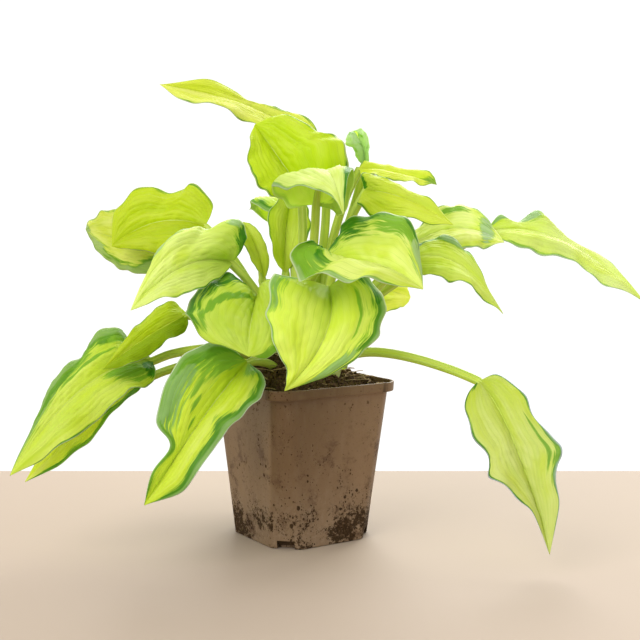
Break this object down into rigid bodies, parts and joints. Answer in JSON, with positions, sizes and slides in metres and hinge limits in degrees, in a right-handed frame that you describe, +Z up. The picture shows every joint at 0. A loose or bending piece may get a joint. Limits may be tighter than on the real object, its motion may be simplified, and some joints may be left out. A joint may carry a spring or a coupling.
{
  "type": "potted hosta plant",
  "caption": "Square tapered nursery pot full of soil with a variegated hosta whose wide, waved, pointed leaves arch out on long petioles and hang past the rim; a patio plant.",
  "frame": {"origin": "centre of the pot's base, on the surface that the pot stands on", "axes": "+Z up; X and Y square to the pot's four sides; the pictured view looks at the pot's front corner from 33 degrees left of -Y"},
  "size_m": [0.3623, 0.2855, 0.2858],
  "materials": {
    "pot": "matte taupe-brown moulded plastic, dusty and splashed with dry soil",
    "soil": "dark moist peat potting soil with bark and straw bits",
    "leaf": "chartreuse leaf with dark green and grey-green margins, soft satin sheen, translucent"
  },
  "bodies": {
    "root": {"pot": "pot", "soil": "soil", "leaf_front_heart": "leaf", "leaf_front_cupped": "leaf", "leaf_front_round": "leaf", "leaf_front_hanging": "leaf", "leaf_top_front": "leaf", "leaf_top_upright": "leaf", "leaf_top_long": "leaf", "leaf_top_young": "leaf", "leaf_top_right": "leaf", "leaf_right_upper": "leaf", "leaf_centre_upright": "leaf", "leaf_left_middle": "leaf", "leaf_left_young": "leaf", "leaf_left_upper": "leaf", "leaf_left_back": "leaf", "leaf_left_small": "leaf", "leaf_left_low": "leaf", "leaf_left_low_under": "leaf", "leaf_right_small": "leaf", "leaf_right_back": "leaf", "leaf_right_long": "leaf", "leaf_right_under": "leaf", "leaf_right_hanging": "leaf", "leaf_back_low_left": "leaf", "leaf_back_low_right": "leaf", "leaf_back_middle": "leaf", "leaf_back_top": "leaf"}
  },
  "joints": []
}
